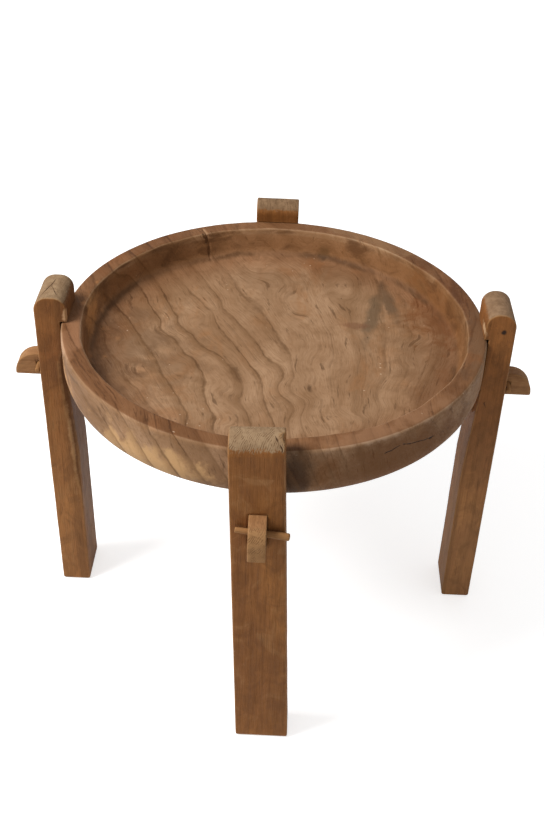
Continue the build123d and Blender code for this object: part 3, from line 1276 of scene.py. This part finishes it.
@dataclass
class Leg(Piece):
    """A leg: hooked over the rim, cut out round the bowl, mortised for a tenon and sawn level."""

    station: Station
    sizes: Sizes
    finish: StickFinish
    seed: float
    head_rise: float
    hook_reach: float
    lean: float = 0.0
    dent: Point | None = None
    rubbed: tuple[float, float] | None = None
    head_width: float = 0.068
    foot_width: float = 0.075
    outer_round: float = 0.022
    inner_round: float = 0.018
    edge: float = 0.0024
    foot_edge: float = 0.0055
    foot_facets: tuple[float, ...] = (0.08, 0.25, 0.55, 1.0)
    spare: float = 0.006
    dent_radius: float = 0.011
    dent_depth: float = 0.0035
    dent_way: Point = (-0.1, -0.6, -0.8)
    rub: float = 0.0066

    def build(self) -> bpy.types.Object:
        """Shapes the leg at its station and dresses it.

        Returns:
            The leg.
        """
        self.saw_blank()
        self.level_foot()
        self.lay_grid()
        self.chop_mortise()
        self.cut_saddle()
        self.wear()
        label = self.station.label
        return self.dress(f"hooked_leg_{label}", "stand", f"leg_{label}", Slot.LEG,
                          self.sizes.place(self.station))

    @property
    def mortise(self) -> tuple[float, float, float]:
        """The size of the mortise.

        Returns:
            Half its width, and the heights of its bottom and its top.
        """
        s, tenon = self.sizes, self.sizes.tenon(self.station)
        rise = tenon.height / 2 + s.gap
        return s.rail / 2 + s.gap, tenon.middle - rise, tenon.middle + rise

    def width(self, height: float) -> float:
        """Width of the leg at a height."""
        share = height / (self.sizes.rim + self.head_rise)
        return self.foot_width + (self.head_width - self.foot_width) * share

    def saw_blank(self) -> None:
        """Draws the side of the leg, thickens it, rounds its edges and lets it lean."""
        s = self.sizes
        hook, half = s.radius - self.hook_reach, -self.foot_width / 2
        top, bottom = s.rim + self.head_rise, s.rim - s.neck_drop
        side = [(s.leg_outside, -self.spare), (s.leg_outside, top), (hook, top), (hook, s.rim + s.gap),
                (s.neck_inside, s.rim + s.gap), (s.neck_inside, bottom), (s.leg_inside, bottom - s.taper),
                (s.leg_inside, -self.spare)]
        verts = self.outline([(x, half, z) for x, z in side], closed=True)
        self.ease([verts[1]], self.outer_round, 12)
        self.ease([verts[2]], self.inner_round, 9)
        self.thicken(self.foot_width, self.edge, 4)
        for vert in self.bm.verts:
            vert.co.y *= self.width(vert.co.z) / self.foot_width
        bmesh.ops.rotate(self.bm, verts=list(self.bm.verts), cent=(0, 0, s.tenon(self.station).middle),
                         matrix=Matrix.Rotation(math.radians(self.lean), 3, "X"))

    def level_foot(self) -> None:
        """Saws the foot level with the floor and eases the edge of the sole."""
        self.cut(2, [0.0], clear_inner=True)
        bmesh.ops.contextual_create(self.bm, geom=[e for e in self.bm.edges if e.is_boundary])
        edge = self.foot_edge
        self.cut(2, [edge * share for share in self.foot_facets])
        low = [vert for vert in self.bm.verts if vert.co.z < edge - 1e-6]
        middle = sum(vert.co.x for vert in low) / len(low)
        for vert in low:
            lack = edge - math.sqrt(edge ** 2 - (edge - max(vert.co.z, 0.0)) ** 2)
            vert.co.x += math.copysign(lack, middle - vert.co.x)
            vert.co.y -= math.copysign(lack, vert.co.y)

    def lay_grid(self) -> None:
        """Divides the leg finely enough to be worked, with lines where the mortise's sides fall."""
        s = self.sizes
        side, low, high = self.mortise
        self.cut(2, steps(0.004, low, COARSE) + [low] + steps(low, high, COARSE) + [high]
                    + steps(high, s.rim + self.head_rise - 0.0025, FINE))
        self.cut(1, [-side, side] + steps(-side, side, 0.006)
                    + twice(steps(side, self.head_width / 2 - 0.003, FINE)))
        self.cut(0, steps(s.radius - self.hook_reach + 0.002, s.leg_outside - 0.003, MIDDLE))

    def chop_mortise(self) -> None:
        """Opens the mortise through both faces and joins the two openings."""
        side, low, high = self.mortise
        bmesh.ops.bridge_loops(self.bm, edges=self.open_box(0, (0, -side, low), (1, side, high)))
        bmesh.ops.recalc_face_normals(self.bm, faces=list(self.bm.faces))

    def cut_saddle(self) -> None:
        """Hollows the neck and the hook to the round of the bowl."""
        s = self.sizes
        reach = s.radius + s.gap
        middle = s.place(self.station).inverted().translation
        for vert in self.bm.verts:
            if s.underside + s.turn <= vert.co.z <= s.rim + s.gap / 2 and vert.co.x < reach:
                vert.co.x = max(vert.co.x, math.sqrt(reach**2 - (vert.co.y - middle.y) ** 2))

    def wear(self) -> None:
        """Rubs down one inner edge, knocks in a dent and lets the surface sink a little."""
        s = self.sizes
        for vert in self.bm.verts if self.rubbed else ():
            low, high = self.rubbed
            height = vert.co.z
            share = smooth(height, low, low + 0.05) * smooth(height, high, high - 0.03)
            level = min(max(height, s.rim - s.neck_drop - s.taper), s.rim - s.neck_drop)
            off_x, off_y = vert.co.x - s.leg_face(level), self.width(height) / 2 - vert.co.y
            if off_x < 0.006 and off_y < 0.006 and share > 0:
                lack = max(self.rub * share - off_x - off_y, 0.0)
                vert.co += Vector((lack / 2, -lack / 2, 0))
        for vert in self.bm.verts if self.dent else ():
            away = (vert.co - Vector(self.dent)).length * (1 + 0.35 * noise.noise(vert.co * 420))
            push = Vector(self.dent_way).normalized() * self.dent_depth
            vert.co += push * smooth(away, self.dent_radius, self.dent_radius * 0.35)
        self.weather(self.seed, 0.0005, 0.045,
                        lambda place: 1.0 if place.z > 0.004 and place.x > s.leg_inside - 0.001 else 0.0)


@dataclass
class Rail(Piece):
    """A rail: a scooped board under the bowl, half-lapped at its middle, with two rounded tenons."""

    name: str
    stations: tuple[Station, Station]
    sizes: Sizes
    finish: StickFinish
    seed: float
    lap_from_below: bool
    depth: float = 0.054
    tip_edge: float = 0.003
    edge: float = 0.0016
    patch: float = 0.007
    inset: float = 0.002
    body_step: float = 0.02

    def build(self) -> bpy.types.Object:
        """Shapes the rail and dresses it.

        Returns:
            The rail.
        """
        self.saw_board()
        self.lay_grid()
        self.scoop()
        for station in self.stations:
            self.bore(station)
        self.weather(self.seed, 0.0005, 0.02, self.exposed)
        return self.dress(f"scooped_rail_{self.name}", "stand", f"rail_{self.name}", Slot.RAIL,
                          self.sizes.place(self.stations[0]))

    @property
    def tenon(self) -> Tenon:
        """The tenon at each end."""
        return self.sizes.tenon(self.stations[0])

    @property
    def crossing(self) -> float:
        """Where the other rail crosses, along this one."""
        return self.sizes.long_offset if self.tenon is self.sizes.cross_tenon else 0.0

    @property
    def body(self) -> float:
        """Height of the underside of the rail between the legs."""
        return self.sizes.underside - self.depth

    @property
    def tip(self) -> float:
        """Distance from the middle to the end of a tenon."""
        return self.sizes.leg_outside + self.tenon.reach

    @property
    def shoulder(self) -> float:
        """Distance from the middle to the lower shoulder against a leg."""
        return self.sizes.leg_face(self.body) - self.sizes.gap

    def exposed(self, place: Vector) -> float:
        """How freely the wood at a place may be worked: only the ends that stand out."""
        return smooth(abs(place.x), self.sizes.leg_outside + 0.001, self.sizes.leg_outside + 0.006)

    def saw_board(self) -> None:
        """Draws the side of the board with its notch and its shoulders, and rounds the tips."""
        s, tenon = self.sizes, self.tenon
        notch, below = s.rail / 2 + s.gap, self.lap_from_below
        lap = self.raised(s.underside - self.depth / 2 + (s.gap if below else -s.gap) / 2)
        mouth = self.body if below else tenon.top
        lapped = [(-notch, mouth), (-notch, lap), (notch, lap), (notch, mouth)]
        lapped = [(self.crossing + x, z) for x, z in lapped]
        side = [(-self.tip, tenon.bottom), (-self.shoulder, tenon.bottom), (-self.shoulder, self.body)]
        side += lapped if below else []
        side += [(self.shoulder, self.body), (self.shoulder, tenon.bottom), (self.tip, tenon.bottom),
                 (self.tip, tenon.top)]
        side += [] if below else lapped[::-1]
        side.append((-self.tip, tenon.top))
        verts = self.outline([(x, -s.rail / 2, z) for x, z in side], closed=True)
        for vert in [v for v in verts if abs(abs(v.co.x) - self.tip) < 1e-6]:
            self.ease([vert], *((tenon.tip_round, 14) if vert.co.z > tenon.middle else (self.tip_edge, 4)))
        self.thicken(s.rail, self.edge, 3)

    def raised(self, height: float) -> float:
        """Where a height in the finished middle of the rail lies in the board before it is scooped."""
        share = (height - self.body) / (self.sizes.seat(0.0) - self.body)
        return self.body + (self.tenon.top - self.body) * share

    def lay_grid(self) -> None:
        """Divides the board: finely at the ends, and with a square patch where each peg passes."""
        s, patch = self.sizes, self.patch
        rise = s.peg_height(self.stations[0])
        lines = [-patch, -patch / 2, 0.0, patch / 2, patch]
        self.cut(0, twice([s.peg_radius + line for line in lines]))
        self.cut(2, [rise + line for line in lines])
        self.cut(0, twice(steps(s.peg_radius + patch, self.tip - self.inset, FINE)))
        self.cut(0, twice(steps(s.radius - s.turn - 0.004, s.radius + 0.004, MIDDLE)))
        self.cut(0, steps(0.014 - self.shoulder, -0.014, self.body_step)
                    + steps(0.014, self.shoulder - 0.03, self.body_step))
        self.cut(2, steps(self.tenon.bottom + self.inset, rise - patch, MIDDLE)
                    + steps(rise + patch, self.tenon.top - self.inset, MIDDLE))
        self.cut(1, steps(self.inset - s.rail / 2, s.rail / 2 - self.inset, MIDDLE))

    def scoop(self) -> None:
        """Lowers the top of the board to the bowl's underside."""
        top, bottom = self.tenon.top, self.tenon.bottom
        middle = self.sizes.place(self.stations[0]).inverted().translation
        for vert in self.bm.verts:
            radius = math.hypot(vert.co.x, vert.co.y - middle.y)
            base = bottom if abs(vert.co.x) > self.shoulder else self.body
            if radius < self.sizes.radius + self.sizes.gap and vert.co.z > base:
                level = min(top, self.sizes.seat(radius))
                vert.co.z = base + (vert.co.z - base) * (level - base) / (top - base)

    def bore(self, station: Station) -> None:
        """Bores the hole for the peg at one end, tilted as the peg is.

        Args:
            station: where that end is.
        """
        s, patch = self.sizes, self.patch
        way = 1.0 if station is self.stations[0] else -1.0
        rise = s.peg_height(station)
        slope = math.tan(math.radians(self.tenon.peg_tilt)) * s.rail / 2 * s.peg_way(station)
        near, far = sorted((way * (s.peg_radius - patch), way * (s.peg_radius + patch)))
        rims = self.open_box(1, (near, -1, rise - patch), (far, 1, rise + patch))
        rings = {}
        for side in (-1, 1):
            middle = Vector((way * s.peg_radius, side * s.rail / 2, rise))
            centre = middle - Vector((0, 0, way * side * slope))
            rim = [e for e in rims if all(v.co.y * side > 0 for v in e.verts)]
            made = bmesh.ops.extrude_edge_only(self.bm, edges=rim)["geom"]
            for vert in (item for item in made if isinstance(item, BMVert)):
                vert.co = centre + (vert.co - middle).normalized() * s.hole / 2
            rings[side] = [item for item in made if isinstance(item, BMEdge)
                           and all((v.co - centre).length < s.hole / 2 + 1e-5 for v in item.verts)]
        made = bmesh.ops.extrude_edge_only(self.bm, edges=rings[-1])["geom"]
        moved = [item for item in made if isinstance(item, BMVert)]
        bmesh.ops.translate(self.bm, verts=moved, vec=Vector((0, s.rail, -2 * way * slope)))
        ring = {v for e in rings[1] for v in e.verts}
        bmesh.ops.remove_doubles(self.bm, verts=list(ring) + moved, dist=1e-5)
        bmesh.ops.recalc_face_normals(self.bm, faces=list(self.bm.faces))


@dataclass
class Peg(Piece):
    """A whittled, tapered peg through a tenon."""

    station: Station
    sizes: Sizes
    finish: StickFinish
    seed: float
    length: float = 0.069
    shift: float = 0.006
    flats: int = 12
    thick_round: float = 0.0026
    thin_round: float = 0.0012

    def build(self) -> bpy.types.Object:
        """Shapes the peg in its hole and dresses it.

        Returns:
            The peg.
        """
        s, half = self.sizes, self.length / 2
        bmesh.ops.create_cone(self.bm, cap_ends=True, cap_tris=False, segments=self.flats,
                              radius1=s.peg_thin / 2, radius2=s.peg_thick / 2, depth=self.length)
        for end, reach in ((1, self.thick_round), (-1, self.thin_round)):
            rim = [e for e in self.bm.edges if all(v.co.z * end > half - 1e-6 for v in e.verts)]
            self.ease(rim, reach, 4)
        self.cut(2, steps(self.thin_round - half, half - self.thick_round, 0.003))
        self.weather(self.seed, 0.0003, 0.012)
        tilt, way = math.radians(s.tenon(self.station).peg_tilt), s.peg_way(self.station)
        along = Vector((0, way * math.cos(tilt), -math.sin(tilt)))
        centre = Vector((s.peg_radius, 0, s.peg_height(self.station))) + along * self.shift
        place = s.place(self.station) @ Matrix.Translation(centre) @ Matrix.Rotation(
            -way * (math.pi / 2 + tilt), 4, "X")
        node = f"peg_{self.station.label}"
        return self.dress(f"whittled_{node}", node, node, Slot.PEG, place)


# ---- Stage, light and camera ----


@dataclass
class Stage:
    """A plain pale floor and an even pale surround."""

    size: float = 14.0
    floor: str = "E6E6E6"
    lift: float = 0.66
    surround: float = 0.47

    def build(self) -> None:
        """Lays the floor and lights the surround."""
        bm = bmesh.new()
        bmesh.ops.create_grid(bm, x_segments=1, y_segments=1, size=self.size / 2)
        show(bm, "floor", self.floor_finish())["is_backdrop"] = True
        self.light_surround()

    def seen_directly(self, graph: Graph) -> Term:
        """A mask that is 1 for rays from the eye, from gloss and through glass.

        Args:
            graph: the tree.

        Returns:
            The mask.
        """
        path = graph.add("ShaderNodeLightPath").outputs
        eye, gloss, glass = (Term(path[f"Is {kind} Ray"]) for kind in ("Camera", "Glossy", "Transmission"))
        return graph.maths("MAXIMUM", graph.maths("MAXIMUM", eye, gloss), glass)

    def floor_finish(self) -> bpy.types.Material:
        """A matt floor that looks white where nothing shades it.

        Returns:
            The material.
        """
        material = bpy.data.materials.new("pale_floor")
        material.use_nodes = True
        graph = Graph(material.node_tree)
        graph.tree.nodes.clear()
        matt = graph.add("ShaderNodeBsdfDiffuse", {"Color": tone(self.floor)})
        glow = graph.add("ShaderNodeEmission", {"Strength": self.seen_directly(graph) * self.lift})
        both = graph.add("ShaderNodeAddShader", {0: Term(matt.outputs[0]), 1: Term(glow.outputs[0])})
        graph.add("ShaderNodeOutputMaterial", {"Surface": Term(both.outputs[0])})
        return material

    def light_surround(self) -> None:
        """Lights everything softly from all round, and shows white where the eye looks past the floor."""
        world = bpy.data.worlds.new("surround")
        world.use_nodes = True
        bpy.context.scene.world = world
        graph = Graph(world.node_tree)
        inputs = world.node_tree.nodes["Background"].inputs
        graph.plug(inputs["Color"], tone("FFFFFF"))
        graph.plug(inputs["Strength"], graph.blend(self.seen_directly(graph), self.surround, 1.0))


@dataclass
class Lamp:
    """A large soft lamp that looks at the bowl."""

    place: Point = (-1.8, -0.7, 2.6)
    target: Point = (0.0, 0.0, 0.35)
    size: float = 1.3
    power: float = 94.0

    def build(self) -> None:
        """Hangs the lamp."""
        light = bpy.data.lights.new("key", "AREA")
        light.shape, light.size, light.energy = "DISK", self.size, self.power
        lamp = bpy.data.objects.new("key", light)
        lamp.location = self.place
        lamp.rotation_euler = (Vector(self.target) - Vector(self.place)).to_track_quat("-Z", "Y").to_euler()
        bpy.context.scene.collection.objects.link(lamp)


@dataclass
class Eye:
    """The camera: standing height in front of the bowl, looking down at it."""

    place: Point = (0.0255, -1.3550, 1.3506)
    down: float = 36.70
    left: float = 1.02
    roll: float = 1.90
    lens: float = 49.58
    sensor: float = 36.0

    def build(self) -> None:
        """Sets the camera up and makes it the scene's."""
        data = bpy.data.cameras.new("eye")
        data.sensor_fit = "VERTICAL"
        data.sensor_height = self.sensor
        data.sensor_width = self.sensor * IMAGE_WIDTH / IMAGE_HEIGHT
        data.lens, data.clip_end = self.lens, 60.0
        camera = bpy.data.objects.new("eye", data)
        heading, pitch, twist = (Matrix.Rotation(math.radians(angle), 4, axis) for angle, axis in (
            (self.left, "Z"), (90 - self.down, "X"), (self.roll, "Z")))
        camera.matrix_world = Matrix.Translation(self.place) @ heading @ pitch @ twist
        bpy.context.scene.collection.objects.link(camera)
        bpy.context.scene.camera = camera


def leg_finish(station: Station) -> StickFinish:
    """Gives the wood of the leg at a station, with its own grain, cracks and marks.

    Args:
        station: where the leg stands.

    Returns:
        The leg's finish.
    """
    wood = {
        Station.FRONT: {
            "pith": (0.30, 0.03, 0.0), "shift": (0.0, 0.0, 0.0), "saw": (0.5, 0.85, 0.0), "lines": (
                Line(((0.335, -0.026, 0.485), (0.335, -0.016, 0.481), (0.335, -0.006, 0.4795),
                      (0.335, 0.004, 0.481), (0.335, 0.012, 0.4845)), 0.0070, 0.20, "A98055"),
                Line(((0.311, 0.008, 0.538), (0.322, 0.014, 0.536), (0.331, 0.020, 0.528),
                      (0.3345, 0.0225, 0.512)), 0.0014, 0.85, deep=True),
                Line(((0.318, 0.020, 0.537), (0.326, 0.012, 0.533)), 0.0010, 0.7, deep=True))},
        Station.RIGHT: {
            "pith": (0.27, -0.05, 0.0), "shift": (0.13, 0.0, 0.7), "saw": (0.1, 1.0, 0.0), "lines": (
                Line(((0.313, -0.036, 0.401), (0.307, -0.036, 0.394), (0.311, -0.036, 0.386),
                      (0.318, -0.036, 0.388)), 0.0017, 0.95),),
            "patches": (Patch((0.318, -0.035, 0.514), (0.0050, 0.007, 0.0055), 0.0, 1.0, "2C1A0E", 0.3),
                        Patch((0.2925, -0.020, 0.512), (0.006, 0.022, 0.008), 0.0, 0.8, "C4A17A", 0.6)),
            "pale": "B88252", "middle": "A17048", "brown": "7C5836", "end": "8C6F54", "handled": 0.95},
        Station.LEFT: {
            "pith": (0.36, 0.06, 0.0), "shift": (-0.2, 0.1, 0.3), "saw": (0.6, 0.8, 0.0), "lines": (
                Line(((0.309, -0.024, 0.539), (0.314, -0.002, 0.539), (0.320, 0.013, 0.538),
                      (0.327, 0.030, 0.534)), 0.0015, 0.9, deep=True),
                Line(((0.314, -0.002, 0.539), (0.307, 0.013, 0.539), (0.300, 0.026, 0.5376)), 0.0012, 0.8,
                     deep=True)),
            "patches": (Patch((0.290, 0.033, 0.512), (0.006, 0.008, 0.014), 0.0, 0.9, "C39A72", 0.5),
                        # painted highlight along the chamfered inner front edge of the left leg
                        Patch((0.296, 0.036, 0.320), (0.007, 0.005, 0.135), 0.0, 0.65, "B48A60", 0.5)),
            "pale": "9E6B3C", "middle": "885A33", "brown": "694525", "handled": 0.7},
        Station.BACK: {"pith": (0.28, 0.02, 0.0), "shift": (0.05, -0.3, 0.5), "end": "866A4E",
                       "end_dark": "573D26"},
    }[station]
    return StickFinish(f"leg_wood_{station.label}", turn=(0.0, 0.0, -float(station.value)), end_from=0.505,
                       **wood)


def write_sizes(packed: tuple[Vector, Vector]) -> None:
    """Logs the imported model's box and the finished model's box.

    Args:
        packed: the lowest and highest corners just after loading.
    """
    boxes = {name: [list(corner) for corner in box] for name, box in (("packed", packed),
                                                                      ("shown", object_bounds()))}
    log.info("packed %s, shown %s", boxes["packed"], boxes["shown"])


def main() -> None:
    """Builds the stage and every piece in order."""
    logging.basicConfig(level=logging.INFO, format="%(name)s: %(message)s", stream=sys.stdout)
    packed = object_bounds()
    sizes = Sizes()
    bpy.context.scene.view_settings.view_transform = "Standard"
    for part in (Stage(), Eye(), Lamp(), Bowl(sizes)):
        part.build()

    for seed, station, rise, hook, marks in (
            (1.0, Station.FRONT, 0.038, 0.011, {"lean": 1.8, "dent": (0.318, 0.034, 0.538)}),
            (2.0, Station.RIGHT, 0.042, 0.0075, {}),
            (3.0, Station.BACK, 0.031, 0.0075, {}),
            (4.0, Station.LEFT, 0.039, 0.011, {"rubbed": (0.18, 0.46)})):
        Leg(station, sizes, leg_finish(station), seed, rise, hook, **marks).build()

    along = {"cross": (0.0, 90.0, 0.0), "long": (90.0, 0.0, 0.0)}
    for seed, name, stations, pith, shift in (
            (5.0, "cross", (Station.RIGHT, Station.LEFT), (0.4, 0.05, 0.0), (0.0, 0.0, 0.2)),
            (6.0, "long", (Station.BACK, Station.FRONT), (0.05, 0.5, 0.0), (0.3, 0.0, 0.0))):
        finish = StickFinish(f"rail_wood_{name}", along[name], pith, shift, saw=(0.8, 0.6, 0.0),
                             pale="A0744C", middle="8A603B", brown="6B4626", end="9C744C",
                             end_dark="684729", end_side=0.5)
        Rail(name, stations, sizes, finish, seed, lap_from_below=name == "cross").build()

    for seed, station in enumerate(Station, 7):
        lying = along["cross" if station in (Station.FRONT, Station.BACK) else "long"]
        finish = StickFinish(f"peg_wood_{station.label}", lying, (0.5, 0.1, 0.0), (0.1 * seed, 0.0, 0.3),
                             pale="A5774B", middle="8F643C", brown="744E2B", end="9E7145",
                             end_dark="66452A", end_side=0.7)
        Peg(station, sizes, finish, float(seed)).build()
    write_sizes(packed)


if __name__ == "__main__":
    main()
